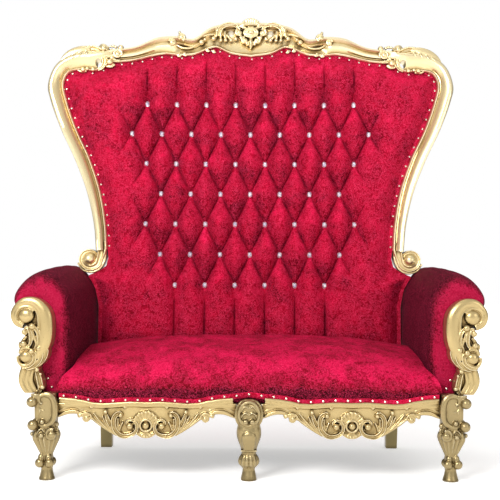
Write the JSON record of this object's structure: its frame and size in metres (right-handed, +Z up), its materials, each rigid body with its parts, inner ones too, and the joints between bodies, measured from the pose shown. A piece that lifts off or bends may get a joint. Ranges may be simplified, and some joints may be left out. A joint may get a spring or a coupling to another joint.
{
  "type": "throne",
  "caption": "Double-width high-back throne with a carved gilded frame, deep-buttoned velvet back, rolled arms and cabriole front legs.",
  "frame": {"origin": "on the floor, under the middle of the part's bounding box", "axes": "+Z up, +X to the right seen from the front, +Y from the front to the back"},
  "size_m": [1.732, 0.9118, 1.852],
  "materials": {
    "gilded_wood": "carved wood with gold leaf, softly burnished, darker in the recesses",
    "velvet": "crushed velvet in bright red, mottled nap",
    "dust_cloth": "thin black lining cloth under the seat"
  },
  "bodies": {
    "root": {"back_frame": "gilded_wood", "inside_back": "velvet", "outside_back": "velvet", "seat": "velvet", "arm_right": "velvet", "arm_left": "velvet", "arm_facing_right": "gilded_wood", "arm_facing_left": "gilded_wood", "front_leg_right": "gilded_wood", "front_leg_middle": "gilded_wood", "front_leg_left": "gilded_wood", "back_leg_right": "gilded_wood", "back_leg_left": "gilded_wood", "front_rail_right": "gilded_wood", "front_rail_left": "gilded_wood", "side_rail_right": "gilded_wood", "side_rail_left": "gilded_wood", "rear_rail": "gilded_wood", "seat_deck": "dust_cloth"}
  },
  "joints": []
}
